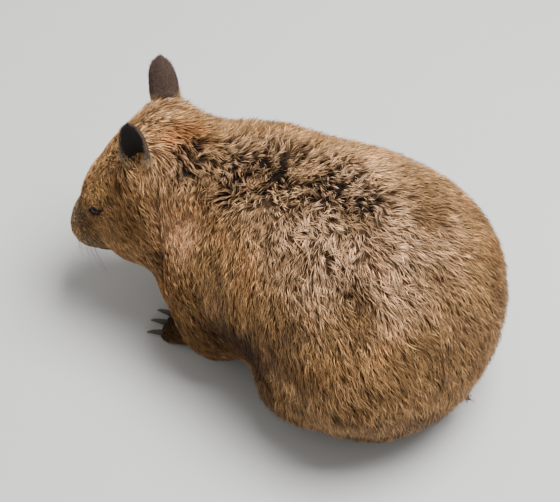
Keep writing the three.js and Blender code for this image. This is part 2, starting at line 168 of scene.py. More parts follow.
def recast(piece, voxel, rounds):
    """One closed smooth surface over all that the piece holds."""
    remesh = piece.modifiers.new("recast", "REMESH")
    remesh.mode = "VOXEL"
    remesh.voxel_size = voxel
    soften = piece.modifiers.new("soften", "SMOOTH")
    soften.factor = 0.5
    soften.iterations = rounds
    settled = piece.evaluated_get(bpy.context.evaluated_depsgraph_get())
    mesh = bpy.data.meshes.new_from_object(settled)
    piece.modifiers.clear()
    piece.data = mesh


def finer(piece, chosen):
    """Splits the faces of a piece where chosen is true of their corners, and evens them out."""
    mould = bmesh.new()
    mould.from_mesh(piece.data)
    edges = [edge for edge in mould.edges if all(chosen[vert.index] for vert in edge.verts)]
    bmesh.ops.subdivide_edges(mould, edges=edges, cuts=1, use_grid_fill=True)
    fresh = [vert for vert in mould.verts if not 0 <= vert.index < len(chosen) or chosen[vert.index]]
    for _ in range(2):
        bmesh.ops.smooth_vert(
            mould, verts=fresh, factor=0.5, use_axis_x=True, use_axis_y=True, use_axis_z=True
        )
    bmesh.ops.triangulate(mould, faces=[face for face in mould.faces if len(face.verts) > 4])
    mould.to_mesh(piece.data)
    mould.free()


def surface_of(mesh):
    """The mesh as a surface that a ray can hit."""
    faces = [list(face.vertices) for face in mesh.polygons]
    return BVHTree.FromPolygons([list(point) for point in points_of(mesh)], faces)


def mouth_line(surface):
    """Points along the mouth, from its left corner round under the nose to its right corner."""
    start = from_head(MOUTH_HEART)
    found = []
    for angle in np.radians(np.linspace(-MOUTH_TURN, MOUTH_TURN, MOUTH_STEPS)):
        out, ahead = math.sin(angle), math.cos(angle)
        way = from_head([out, -ahead, -0.08 - 0.1 * abs(out)]) - HEAD_AT
        hit, _, _, _ = surface.ray_cast(Vector(start), Vector(way).normalized())
        found.append(in_head(np.array(hit)))
    return np.array(found)


def near_mouth(head):
    """Which places may be near the mouth, and how far those are from its line."""
    lower = np.flatnonzero((head[:, 1] < 0) & (head[:, 2] < -20))
    return lower, nearest_of(MOUTH, head[lower])[1]


hide = placed("hide", merged_copy(FLESH, OVERLAP))
recast(hide, HIDE_VOXEL, 8)
MOUTH = mouth_line(surface_of(hide.data))
for reach in FINER_REACHES:
    head = in_head(points_of(hide.data))
    own = left_half(head)
    close = (distance(own, EYE) < reach) | (distance(own, NOSTRIL) < reach * 0.8)
    lower, gap = near_mouth(head)
    close[lower] |= gap < reach * 0.38
    finer(hide, close)


def coat_depth(places):
    """How far the tips of the coat stand over the hide: least on the feet, the face and the nose."""
    head = in_head(places)
    own = left_half(head)
    z = places[:, 2] / MM
    depth = 10 - 4 * (1 - ramp(z, 30, 110))
    depth = np.minimum(depth, 1.4 + 6.6 * ramp(z, 28, 70))
    depth = blend(depth, 3.2, 1 - ramp(head[:, 1], -20, 105))
    depth = blend(depth, 4.0, 1 - ramp(distance(own, EAR_BASE), 16, 42))
    depth = blend(depth, 1.2, 1 - ramp(head[:, 1], -72, -30))
    depth = blend(depth, 1.0, 1 - ramp(distance(own, EYE), 12, 28))
    depth = blend(depth, 0.4, np.clip(2 * spot(head, NOSE_MIDDLE, NOSE_SPAN * 1.15), 0, 1))
    return depth * MM


def cheek_fold(own):
    """1 along the fold where the cheek ends and the neck begins, under each ear."""
    line = ridge(own[:, 1] - 82 - 0.6 * own[:, 2], 5.5)
    return line * ramp(own[:, 0], 48, 66) * ramp(-own[:, 2], -22, 12) * (1 - ramp(-own[:, 2], 70, 95))


# The lids, in millimetres: their thickness, how far the slit between them runs to the front and the
# back of the eye, half its height, its slope, and how far the eye and the slit sink behind them.
LOOK = unit(np.array([0.87, -0.48, 0.12]))
LID, LID_REACH, BALL_SUNK, SLIT_SUNK = 1.5, 26, 1.3, 2.6
SLIT_FRONT, SLIT_BACK, SLIT_GAPE, SLIT_SLOPE = 13.0, 11.0, 2.4, math.radians(-9)
LEVEL = unit(np.cross([0, 0, 1], LOOK))
LID_ALONG = LEVEL * math.cos(SLIT_SLOPE) + np.cross(LOOK, LEVEL) * math.sin(SLIT_SLOPE)
LID_ABOVE = np.cross(LOOK, LID_ALONG)


def slit(a):
    """The middle of the slit between the lids, and half its height, along its length."""
    half = np.where(a < 0, SLIT_FRONT, SLIT_BACK)
    return -0.4 - 0.02 * a, SLIT_GAPE * np.clip(1 - (a / half) ** 2, 0.02, 1)


def lidded(own):
    """Lids that close over the ball of the eye but for the slit between them, and folds round them."""
    arm = own - EYE
    near = (np.linalg.norm(arm, axis=1) < LID_REACH) & (arm @ LOOK > -2)
    arm = arm[near]
    a, u, f = arm @ LID_ALONG, arm @ LID_ABOVE, arm @ LOOK
    level, gape = slit(a)
    share = np.abs(u - level) / gape
    edge = (np.abs(share - 1) < 0.22) & (gape > 0.6)
    u = np.where(edge, level + np.sign(u - level) * gape, u)
    inside = (share < 0.78) & (gape > 0.1)
    shell = EYE_RADIUS + LID
    reach = np.sqrt(a * a + u * u + f * f)
    rise = np.clip(0.5 + 0.5 * (reach - shell) / 2.5, 0, 1)
    wanted = blend(shell, reach, rise) + 2.5 * rise * (1 - rise)
    grow = blend(1, wanted / reach, ramp(f / reach, 0.05, 0.4))
    a, u, f = a * np.where(inside, 1, grow), u * np.where(inside | edge, 1, grow), f * grow
    ball = np.sqrt(np.clip((EYE_RADIUS - BALL_SUNK) ** 2 - a * a - u * u, 0, None))
    f = np.where(inside, np.where(ball > 0, np.minimum(f, ball), f - SLIT_SUNK), f)
    arch = np.clip(1 - (a / 14.5) ** 2, 0, 1)
    creases = 0.9 * ridge(u - 6.4 * arch, 0.9) + 0.7 * ridge(u + 5.6 * arch + 0.8, 0.9)
    brow = 1.8 * ridge(u - 12, 4) * ridge(a, 13)
    f = f - (~inside & ~edge) * creases * arch + brow
    own = own.copy()
    own[near] = EYE + a[:, None] * LID_ALONG + u[:, None] * LID_ABOVE + f[:, None] * LOOK
    return own, near, share


# The nostrils: each faces out and forward, is long across the nose and curls up at its outer end.
NOSTRIL_OUT = unit(np.array([0.50, -0.86, 0.06]))
NOSTRIL_LONG = unit(np.cross(NOSTRIL_OUT, unit(np.array([0.52, 0.2, 0.83]))))
NOSTRIL_ACROSS = np.cross(NOSTRIL_OUT, NOSTRIL_LONG)
NOSTRIL_HALF, NOSTRIL_CURL, NOSTRIL_DEPTH, NOSTRIL_RIM = (5.8, 3.0), 0.06, 7.0, 0.9


def nostril_share(own):
    """0 in the middle of the nostril, 1 at its rim."""
    arm = own - NOSTRIL
    p, q, away = arm @ NOSTRIL_LONG, arm @ NOSTRIL_ACROSS, np.abs(arm @ NOSTRIL_OUT) > 11
    curled = q - NOSTRIL_CURL * p * p + 0.6
    return np.sqrt((p / NOSTRIL_HALF[0]) ** 2 + (curled / NOSTRIL_HALF[1]) ** 2) + 10 * away


LIP_SWELL, MOUTH_DEPTH, LIP_SPLIT = 0.9, 2.3, 1.5


def modelled(head, facing):
    """The head's own forms, worked into the hide."""
    side = np.where(head[:, :1] < 0, [-1, 1, 1], [1, 1, 1])
    own, _, _ = lidded(left_half(head))
    rim = nostril_share(own)
    rise = NOSTRIL_RIM * ridge(rim - 1.5, 0.35) - NOSTRIL_DEPTH * (1 - ramp(rim, 0.5, 1.1))
    head = (own + NOSTRIL_OUT * rise[:, None]) * side
    lower, gap = near_mouth(head)
    swell = LIP_SWELL * ridge(gap - 4.2, 1.9) - MOUTH_DEPTH * ridge(gap, 1.25)
    head[lower] += facing[lower] * swell[:, None]
    split = ramp(-head[:, 1], 58, 64) * ramp(head[:, 2], -64, -58) * ramp(-head[:, 2], 24, 34)
    head -= facing * (LIP_SPLIT * ridge(head[:, 0], 1.1) * split)[:, None]
    return head


hide_out = points_of(hide.data)
hide_facing = normals_of(hide.data)
sink = coat_depth(hide_out) + FOLD_DEPTH * cheek_fold(left_half(in_head(hide_out)))
hide_in = hide_out - hide_facing * sink[:, None]
put_points(hide.data, from_head(modelled(in_head(hide_in), hide_facing @ HEAD_TILT)))


def unwrapped(piece):
    """Lays the piece's own shape out flat, on the map that its coat shares."""
    for each in bpy.context.selected_objects:
        each.select_set(False)
    piece.select_set(True)
    bpy.context.view_layer.objects.active = piece
    piece.data.uv_layers.active = piece.data.uv_layers.new(name="OFBake")
    bpy.ops.object.mode_set(mode="EDIT")
    bpy.ops.mesh.select_all(action="SELECT")
    bpy.ops.uv.smart_project(angle_limit=1.15, island_margin=0.004)
    bpy.ops.object.mode_set(mode="OBJECT")


unwrapped(hide)


def linear(red, green, blue):
    """A colour as a screen shows it, 0 to 255, as the amounts of light in it."""
    share = np.array([red, green, blue]) / 255
    return np.where(share > 0.04045, ((share + 0.055) / 1.055) ** 2.4, share / 12.92)


def waves(places, size, seed=0):
    """A soft random number from -1 to 1 at each place, in patches of about this size."""
    shift = Vector((seed * 7.3, seed * 3.1, seed * 5.7))
    return np.array([noise.noise(Vector(place) / size + shift) for place in places]) * 1.6


def tinted(base, tint, share):
    return base + (tint - base) * np.clip(share, 0, 1)[:, None]


# The colours of the hair at its root and along its outer half, of its markings, of painted shade, and of
# bare skin.
ROOT_BROWN, TIP_TAN = linear(60, 34, 14), linear(214, 166, 110)
SILVER, RUST, UMBER = linear(255, 208, 162), linear(210, 138, 78), linear(146, 104, 56)
CREAM, OCHRE, ROSE = linear(252, 222, 176), linear(232, 184, 116), linear(255, 198, 146)
# Peat brown serves both as a marking and as painted shade in the coat's folds and hollows.
ASH, PEAT = linear(226, 180, 138), linear(76, 52, 29)
BARE_BROWN, BARE_DARK = linear(74, 52, 44), linear(16, 11, 10)


def bareness(places, facing):
    """Where the hide shows: the pad of the nose and the soles."""
    head = in_head(places)
    nose = np.clip(2.2 * spot(head, NOSE_MIDDLE, NOSE_SPAN), 0, 1)
    nose = nose * ramp(-(facing @ HEAD_TILT)[:, 1], 0.1, 0.5)
    sole = (1 - ramp(places[:, 2], 2 * MM, 7 * MM)) * ramp(-facing[:, 2], 0.3, 0.7)
    return nose, sole


# The wet strip runs from between the ears along the spine: places on it, and how far it spreads.
WET_STRIP = [
    (34, -96, 259, 36), (18, -52, 266, 60), (-6, -6, 270, 60), (-10, 42, 280, 46), (0, 84, 286, 22),
]
# The marks of the coat's tips: colour, strength, middle and spread. All are in millimetres, and those
# of the face are places on the head.
BODY_MARKS_AND_SHADE = [
    (UMBER, 0.9, (130, -20, 110), (70, 130, 95)),
    # Painted shade in the hollow between the shoulder and the haunch.
    (PEAT, 1.3, (132, 12, 132), (50, 75, 62)),
    (PEAT, 0.6, (80, 115, 258), (28, 32, 26)),
    (BARE_DARK, 1.2, (121, -9, 151), (16, 7, 12)),
]
FACE_MARKS = [
    (UMBER, 0.75, (66, 30, -10), (22, 40, 45)),
    (UMBER, 1.3, (50, 42, 22), (15, 16, 14)),
    (OCHRE, 1.2, (42, -14, -20), (20, 24, 15)),
    (OCHRE, 1.1, (38, 10, 17), (18, 22, 14)),
    (CREAM, 1.1, (29, -46, -40), (20, 24, 24)),
    (ROSE, 0.8, (42, -18, -46), (18, 24, 20)),
]


def ruffled(places):
    """Where the coat is wet and its locks stand up, from 0 to 1."""
    mm = places / MM
    strip = np.zeros(len(places))
    for (*start, wide), (*end, narrow) in zip(WET_STRIP, WET_STRIP[1:]):
        run = np.subtract(end, start)
        share = np.clip((mm - start) @ run / (run @ run), 0, 1)
        off = np.linalg.norm(mm - start - share[:, None] * run, axis=1) / blend(wide, narrow, share)
        strip = np.maximum(strip, 1 - ramp(off, 0.35, 1.15))
    strip *= 0.85 + 0.55 * waves(places, 0.028, 8)
    return np.clip(1.3 * strip + 0.42 * spot(mm, (56, 86, 262), (105, 125, 95)), 0, 1)


def markings_and_painted_light(places):
    """The colours of the coat's roots and tips, with painted light and shade, the same for the hide as for
    the hair on it.
    """
    mm = places / MM
    head = in_head(places)
    own = left_half(head)
    patches, grizzle, flecks = waves(places, 0.035), waves(places, 0.013, 5), waves(places, 0.005, 6)
    root, tip = np.tile(ROOT_BROWN, (len(places), 1)), np.tile(TIP_TAN, (len(places), 1))

    # Silver over the back, rose on the neck, rust on the nape, and the marks of the body with the painted
    # shade between the shoulder and the haunch.
    silver = spot(mm, (40, 90, 275), (130, 175, 105))
    tip = tinted(tip, SILVER, 1.5 * silver * (0.75 + 0.5 * patches))
    rosy = spot(mm, (94, -88, 216), (46, 46, 56))
    root = tinted(root, 0.32 * ROSE, 1.3 * rosy)
    tip = tinted(tip, ROSE, 1.6 * rosy)
    rusty = spot(mm, (26, -126, 268), (48, 42, 46))
    tip = tinted(tip, RUST, rusty + 0.55 * (waves(places, 0.042, 7) - 0.15))
    for colour, strength, middle, spread in BODY_MARKS_AND_SHADE:
        tip = tinted(tip, colour, strength * spot(mm, middle, spread))

    # The face: pale along the top of the muzzle, marked round the eyes, and with painted shade along the
    # cheek's fold.
    tip = tinted(tip, UMBER, 0.12 * (1 - ramp(head[:, 1], 0, 90)))
    pale = spot(own, (14, -50, -8), (26, 34, 24))
    tip = tinted(tip, CREAM, 1.7 * pale * (0.85 + 0.4 * flecks))
    for colour, strength, middle, spread in FACE_MARKS:
        tip = tinted(tip, colour, strength * spot(own, middle, spread))
    # Painted shade: a dark line along the fold under each ear.
    tip = tinted(tip, PEAT, 0.5 * cheek_fold(own))

    # Painted shade and light: darker low down but for the tail, and lighter over the top of the back, as
    # if lit from above. Darker also along the lids, and at the roots where the coat is wet.
    low = 1 - ramp(mm[:, 2] + 60 * spot(mm, TAIL, 40), 25, 150)
    tip = tip * (1 - 0.62 * low)[:, None] * (0.8 + 0.2 * ramp(mm[:, 2], 160, 260))[:, None]
    root = root * (1 - 0.35 * low)[:, None]
    tip = tinted(tip, BARE_DARK, 1.5 * spot(own, EYE + (0, -2, 0), (15, 19, 9)))
    wet = ruffled(places)
    root = root * (1 - 0.68 * wet)[:, None]
    tip = tinted(tip, ASH, 0.45 * wet + 0.3 * waves(places, 0.05, 9))
    return root, tip * np.clip(1 + 0.36 * patches + 0.22 * grizzle + 0.2 * flecks, 0.3, 2)[:, None]


class Wire:
    """What comes out of a node. Python's operators on it add Math nodes."""

    def __init__(self, finish, socket):
        self.finish, self.socket = finish, socket

    def worked(self, operation, first, second):
        return self.finish.node("ShaderNodeMath", {"operation": operation}, {0: first, 1: second})

    def __add__(self, other):
        return self.worked("ADD", self, other)

    def __mul__(self, other):
        return self.worked("MULTIPLY", self, other)

    def __sub__(self, other):
        return self.worked("SUBTRACT", self, other)

    def __rsub__(self, other):
        return self.worked("SUBTRACT", other, self)

    __radd__ = __add__
    __rmul__ = __mul__


class Finish:
    """A material worked out from nodes. What is the same all over it is fixed on its shader."""

    def __init__(self, name, **fixed):
        self.material = bpy.data.materials.new(name)
        self.material.use_nodes = True
        self.tree = self.material.node_tree
        self.shader = self.tree.nodes["Principled BSDF"]
        for socket, value in fixed.items():
            self.shader.inputs[socket.replace("_", " ")].default_value = value

    def feed(self, socket, value):
        if isinstance(value, Wire):
            self.tree.links.new(value.socket, socket)
        else:
            socket.default_value = value

    def node(self, kind, settings=None, sockets=None, output=0):
        """A new node of this kind, and what comes out of it."""
        made = self.tree.nodes.new(kind)
        for name, value in (settings or {}).items():
            if name == "stops":
                stops = made.color_ramp.elements
                while len(stops) < len(value):
                    stops.new(0.5)
                for stop, (position, shade) in zip(stops, value):
                    stop.position, stop.color = position, (*shade, 1)
            else:
                setattr(made, name, value)
        for name, value in (sockets or {}).items():
            self.feed(made.inputs[name], value)
        return Wire(self, made.outputs[output])

    def shaded(self, colour, amount):
        """A colour made lighter or darker by a number."""
        mixing = {"data_type": "RGBA", "blend_type": "MULTIPLY"}
        blended = {"Factor": 1.0, "A": colour, "B": amount}
        return self.node("ShaderNodeMix", mixing, blended, output="Result")

    def wear(self, **sockets):
        """Leads what was worked out into the shader."""
        for name, value in sockets.items():
            self.feed(self.shader.inputs[name.replace("_", " ")], value)
        return self.material


def painted(mesh, name, values):
    """Keeps a colour or a number for each point of a mesh."""
    if values.ndim == 2:
        solid = np.column_stack([values, np.ones(len(values))]).astype(np.float32)
        layer = mesh.color_attributes.new(name, "FLOAT_COLOR", "POINT")
        layer.data.foreach_set("color", solid.ravel())
    else:
        layer = mesh.attributes.new(name, "FLOAT", "POINT")
        layer.data.foreach_set("value", values.astype(np.float32))


hide_in = points_of(hide.data)
hide_facing = normals_of(hide.data)
nose_share, sole_share = bareness(hide_in, hide_facing)
hide_own = left_half(in_head(hide_in))
root_tone, tip_tone = markings_and_painted_light(hide_in)
short = (1 - ramp(in_head(hide_in)[:, 1], -40, 70))[:, None]
soaked = ruffled(hide_in)[:, None]
hide_tone = 0.65 * root_tone * (1 - 0.6 * np.clip(2 * soaked, 0, 1))
hide_tone += (0.08 * (1 - soaked) + 0.22 * short) * tip_tone
hide_tone = tinted(hide_tone, BARE_BROWN, np.maximum(nose_share, sole_share))
hide_tone = tinted(hide_tone, 1.6 * BARE_DARK, 1.4 * spot(hide_own, EYE, (24, 24, 15)))
_, near_eye, lid_share = lidded(hide_own)
rim_dark = np.zeros(len(hide_in))
rim_dark[near_eye] = 1 - ramp(lid_share, 1.25, 2.0)
rim_dark = np.maximum(rim_dark, 1 - ramp(nostril_share(hide_own), 0.9, 1.3))
hide_tone = tinted(hide_tone, BARE_DARK, rim_dark)
painted(hide.data, "tone", hide_tone)
painted(hide.data, "bare", np.maximum(nose_share, sole_share) * (1 - 0.5 * rim_dark))
painted(hide.data, "wet", rim_dark)

leather = Finish("hide", Specular_IOR_Level=0.15)
here = leather.node("ShaderNodeTexCoord", output="Object")
grains = leather.node("ShaderNodeTexVoronoi", {}, {"Vector": here, "Scale": 620.0, "Randomness": 0.9})
pores = leather.node("ShaderNodeTexNoise", {}, {"Vector": here, "Scale": 1400.0, "Detail": 3.0})
bare = leather.node("ShaderNodeAttribute", {"attribute_name": "bare"}, output="Fac")
wet = leather.node("ShaderNodeAttribute", {"attribute_name": "wet"}, output="Fac")
own_tone = leather.node("ShaderNodeAttribute", {"attribute_name": "tone"})
pitted = leather.node("ShaderNodeBump", {}, {
    "Strength": 0.8, "Distance": 0.6 * MM, "Height": (1 - grains) * bare * 0.8 + pores * 0.35,
})
leather.wear(
    Base_Color=leather.shaded(own_tone, 0.75 + 0.4 * pores),
    Roughness=0.8 - 0.25 * bare - 0.45 * wet,
    Normal=pitted,
)
hide.data.materials.clear()
hide.data.materials.append(leather.material)
hide.data.shade_smooth()
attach(hide, "root")
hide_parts(*FLESH)


# The eyes. Each is a small dark ball, brown round a wide pupil, wet, and mostly under its lids.
CORNEA_RISE, CORNEA_SPREAD = 0.6, 0.5
for side, turn in (("left", 1), ("right", -1)):
    look = Vector(HEAD_TILT @ (LOOK * [turn, 1, 1]))
    middle = EYE_AT[side]
    mould = bmesh.new()
    bmesh.ops.create_uvsphere(mould, u_segments=40, v_segments=28, radius=EYE_RADIUS * MM)
    for vert in mould.verts:
        slant = vert.co.normalized().angle(Vector((0, 0, 1)))
        vert.co *= 1 + CORNEA_RISE / EYE_RADIUS * math.exp(-((slant / CORNEA_SPREAD) ** 4))
    bmesh.ops.rotate(mould, verts=mould.verts, matrix=look.to_track_quat("Z", "Y").to_matrix())
    bmesh.ops.translate(mould, verts=mould.verts, vec=middle)
    eyeball = bpy.data.meshes.new(f"eyeball_{side}")
    mould.to_mesh(eyeball)
    mould.free()
    slant = unit(points_of(eyeball) - np.array(middle)) @ np.array(look)
    painted(eyeball, "slant", np.degrees(np.arccos(np.clip(slant, -1, 1))) / 90)
    glassy = Finish(f"eye_{side}", IOR=1.2)
    outward = glassy.node("ShaderNodeAttribute", {"attribute_name": "slant"}, output="Fac")
    here = glassy.node("ShaderNodeTexCoord", output="Object")
    flecks = glassy.node("ShaderNodeTexNoise", {}, {"Vector": here, "Scale": 900.0})
    iris = glassy.node("ShaderNodeValToRGB", {"stops": [
        (0.0, linear(4, 3, 4)), (0.27, linear(5, 4, 4)), (0.31, linear(44, 27, 16)),
        (0.5, linear(34, 22, 15)), (0.6, linear(12, 9, 9)), (1.0, linear(52, 42, 42)),
    ]}, {"Fac": outward + 0.04 * flecks})
    eyeball.materials.append(glassy.wear(Base_Color=iris, Roughness=0.1 + 0.1 * flecks))
    eyeball.shade_smooth()
    piece = placed(f"eyeball_{side}", eyeball)
    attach(piece, "root")
    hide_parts(f"eye_{side}")


# The rims of the lids. Each is a dark wet bead of bare skin that lies on the hide along the edge of the
# slit, and thins towards the corners of the eye.
LID_BEAD, RIM_STEPS = 0.5, 72
lids = surface_of(hide.data)
moist = Finish("lid_rim", IOR=1.25)
here = moist.node("ShaderNodeTexCoord", output="Object")
lumps = moist.node("ShaderNodeTexNoise", {}, {"Vector": here, "Scale": 1200.0})
rim_tone = moist.node("ShaderNodeValToRGB", {"stops": [
    (0.3, linear(22, 16, 15)), (0.7, linear(40, 30, 28)),
]}, {"Fac": lumps})
moist.wear(Base_Color=rim_tone, Roughness=0.35 + 0.2 * lumps)
for side, turn in (("left", 1), ("right", -1)):
    mirror = np.array([turn, 1, 1])
    wire = bpy.data.curves.new(f"lid_rim_{side}", "CURVE")
    wire.dimensions = "3D"
    wire.bevel_depth = LID_BEAD * MM
    wire.bevel_resolution = 2
    edge = wire.splines.new("POLY")
    edge.points.add(RIM_STEPS - 1)
    edge.use_cyclic_u = True
    aim = Vector(from_head(LOOK * mirror) - HEAD_AT).normalized()
    for step, point in enumerate(edge.points):
        angle = 2 * math.pi * step / RIM_STEPS
        a = math.cos(angle) * (SLIT_FRONT if math.cos(angle) < 0 else SLIT_BACK) * 0.97
        level, gape = slit(np.array(a))
        point.radius = 0.45 + 0.55 * float(gape) / SLIT_GAPE
        way = math.copysign(1, math.sin(angle))
        above = EYE + a * LID_ALONG + (level + way * (gape + 1.0)) * LID_ABOVE + 25 * LOOK
        hit, _, _, _ = lids.ray_cast(Vector(from_head(above * mirror)), -aim)
        depth = (in_head(np.array(hit)) * mirror - EYE) @ LOOK - 0.3 - 0.7 * (1 - point.radius)
        at = EYE + a * LID_ALONG + (level + way * (gape + 0.15)) * LID_ABOVE + depth * LOOK
        point.co = (*from_head(at * mirror), 1)
    rim = placed(f"lid_rim_{side}", wire)
    mesh = bpy.data.meshes.new_from_object(rim.evaluated_get(bpy.context.evaluated_depsgraph_get()))
    bpy.data.objects.remove(rim)
    mesh.materials.clear()
    mesh.materials.append(moist.material)
    mesh.shade_smooth()
    rim = placed(f"lid_rim_{side}", mesh)
    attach(rim, "root")


# The ears. Each is a thin upright cup of gristle and skin, dark within and paler and velvety behind, whose
# root runs down into the head. The left one has a nick in its tip.
EAR_VOXEL, EAR_FOOT, EAR_ROOT = 1.0 * MM, 14, 16.0
NICK_DEPTH, NICK_HALF_WIDTH = 3.2, 2.4
EAR_SKIN, EAR_WITHIN, EAR_LOW = linear(86, 69, 61), linear(20, 15, 13), linear(120, 94, 66)


def cupped(head, facing, cup):
    """1 on the inner wall of an ear, 0 on its back and rim."""
    base, axis, opening = cup
    middle = base + axis * ((head - base) @ axis)[:, None] + opening * 4
    return ramp((facing * unit(middle - head)).sum(1), -0.1, 0.25) * ramp(facing @ opening, -0.3, 0.1)


gristle = Finish("ear_skin", Specular_IOR_Level=0.3)
here = gristle.node("ShaderNodeTexCoord", output="Object")
nap = gristle.node("ShaderNodeTexNoise", {}, {"Vector": here, "Scale": 1500.0, "Detail": 3.0})
cloud = gristle.node("ShaderNodeTexNoise", {}, {"Vector": here, "Scale": 90.0, "Detail": 2.0})
ear_tone = gristle.node("ShaderNodeAttribute", {"attribute_name": "tone"})
gristle.wear(
    Base_Color=gristle.shaded(ear_tone, 0.45 + 0.5 * nap + 0.6 * cloud),
    Roughness=0.62 + 0.25 * nap,
    Normal=gristle.node("ShaderNodeBump", {}, {"Strength": 0.5, "Distance": 0.4 * MM, "Height": nap}),
)
ears = {}
for side, turn in (("left", 1), ("right", -1)):
    ear = placed(f"ear_skin_{side}", merged_copy([f"ear_{side}"], 0))
    recast(ear, EAR_VOXEL, 4)
    head = in_head(points_of(ear.data))
    base = EAR_BASE * [turn, 1, 1]
    tip_at = head[np.argmax((head - base) @ [0.2 * turn, 0.4, 0.9])]
    axis = unit(tip_at - base)
    height = (head - base) @ axis
    sunk = np.clip((EAR_FOOT - height) / EAR_FOOT, 0, 1.5) ** 1.2 * EAR_ROOT
    head = head + unit(np.array([-0.35 * turn, 0.0, -1.0])) * sunk[:, None]
    if side == "left":
        top = (head - base) @ axis
        spread = head[:, 1] - head[np.argmax(top), 1] - 1.0
        cut = np.clip(1 - np.abs(spread) / NICK_HALF_WIDTH, 0, 1) * ramp(top, top.max() - 9, top.max() - 2)
        head = head - axis * (cut * NICK_DEPTH)[:, None]
    put_points(ear.data, from_head(head))
    unwrapped(ear)
    cup = (base, axis, unit(np.array([0.96 * turn, -0.12, 0.1])))
    within = cupped(head, normals_of(ear.data) @ HEAD_TILT, cup)
    shade = tinted(np.tile(EAR_SKIN, (len(head), 1)), EAR_WITHIN, within)
    shade = tinted(shade, EAR_LOW, 0.6 * (1 - ramp(height, 4, 22)) * (1 - within))
    painted(ear.data, "tone", shade)
    ear.data.materials.clear()
    ear.data.materials.append(gristle.material)
    ear.data.shade_smooth()
    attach(ear, "root")
    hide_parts(f"ear_{side}")
    ears[side] = (ear, cup)


# The claws. Long blunt digging claws of dark horn, worn pale at their tips, four or five to a foot. Each
# is the solid's own form with its edges rounded and its root run back into the toe.
CLAW_ROOT = 5.0 * MM
horn = Finish("horn", Specular_IOR_Level=0.45)
here = horn.node("ShaderNodeTexCoord", output="Object")
layers = horn.node("ShaderNodeTexNoise", {}, {"Vector": here, "Scale": 260.0, "Detail": 4.0})
wear = horn.node("ShaderNodeAttribute", {"attribute_name": "wear"}, output="Fac")
horn_tone = horn.node("ShaderNodeValToRGB", {"stops": [
    (0.0, linear(38, 29, 23)), (0.55, linear(74, 58, 44)), (1.0, linear(134, 112, 86)),
]}, {"Fac": wear * 0.8 + (layers - 0.5) * 0.5})
horn.wear(
    Base_Color=horn_tone,
    Roughness=0.35 + 0.3 * layers,
    Normal=horn.node("ShaderNodeBump", {}, {"Strength": 0.4, "Distance": 0.3 * MM, "Height": layers}),
)
for name in [name for name in nodes if "_claw_" in name]:
    low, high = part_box(name.split("_claw_")[0])
    foot_middle = np.array((low + high) / 2)
    mesh = merged_copy([name], 0)
    places = points_of(mesh)
    reach = distance(places, foot_middle)
    root_at, tip_at = places[reach < np.percentile(reach, 25)].mean(0), places[np.argmax(reach)]
    run = unit(tip_at - root_at)
    share = (places - root_at) @ run / ((tip_at - root_at) @ run)
    put_points(mesh, places - run * (CLAW_ROOT * np.clip(1 - share / 0.35, 0, 1.2))[:, None])
    painted(mesh, "wear", np.clip(share, 0, 1))
    mesh.materials.append(horn.material)
    mesh.shade_smooth()
    claw = placed(f"horn_{name}", mesh)
    rounding = claw.modifiers.new("rounding", "SUBSURF")
    rounding.levels = rounding.render_levels = 2
    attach(claw, "root")
    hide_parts(name)


# The coat. Coarse brown hair with pale tips lies from the muzzle back over the body and down its sides,
# in locks that stick together and stand up where the back is wet. Each tuft is a thin tapered spike.
COAT_TUFTS = 140000
COAT_PIECES = 8
# A tuft's bend, how deep its root sits as a share of its height, how far its sides taper before the
# tip, how flat it is, and the size of its patch on the map.
TUFT_BEND, TUFT_SUNK, TUFT_TAPER, TUFT_FLATNESS, TUFT_PATCH = 2.2, 0.15, 0.4, 0.6, 0.003


def sown(piece, count, density, *more):
    """Roots spread over a piece: their places, the way the skin faces and their places on its map."""
    piece.data.calc_loop_triangles()
    triangles = len(piece.data.loop_triangles)
    verts, loops = np.empty(3 * triangles, np.int32), np.empty(3 * triangles, np.int32)
    piece.data.loop_triangles.foreach_get("vertices", verts)
    piece.data.loop_triangles.foreach_get("loops", loops)
    verts, loops = verts.reshape(-1, 3), loops.reshape(-1, 3)
    places, normals = points_of(piece.data)[verts], normals_of(piece.data)[verts]
    laid = np.empty(len(piece.data.loops) * 2, np.float32)
    piece.data.uv_layers["OFBake"].data.foreach_get("uv", laid)
    laid = laid.reshape(-1, 2)[loops]
    crossed = np.cross(places[:, 1] - places[:, 0], places[:, 2] - places[:, 0])
    thick = density(places.mean(1), unit(normals.mean(1)), *more)
    total = np.cumsum(np.linalg.norm(crossed, axis=1) * thick)
    picked = np.searchsorted(total, (np.arange(count) + DRAW.random(count)) / count * total[-1])
    picked = np.minimum(picked, len(total) - 1)
    share = DRAW.random((count, 2))
    share = np.where(share.sum(1, keepdims=True) > 1, 1 - share, share)
    share = np.column_stack([1 - share.sum(1), share])[:, :, None]
    facing = unit((normals[picked] * share).sum(1))
    return (places[picked] * share).sum(1), facing, (laid[picked] * share).sum(1)


def along_skin(vectors, normals):
    """Unit vectors, laid down on the skin."""
    return unit(vectors - (vectors * normals).sum(1, keepdims=True) * normals)


def turned(vectors, normals, angles):
    """Vectors that lie on the skin, turned on it."""
    return vectors * np.cos(angles)[:, None] + np.cross(normals, vectors) * np.sin(angles)[:, None]


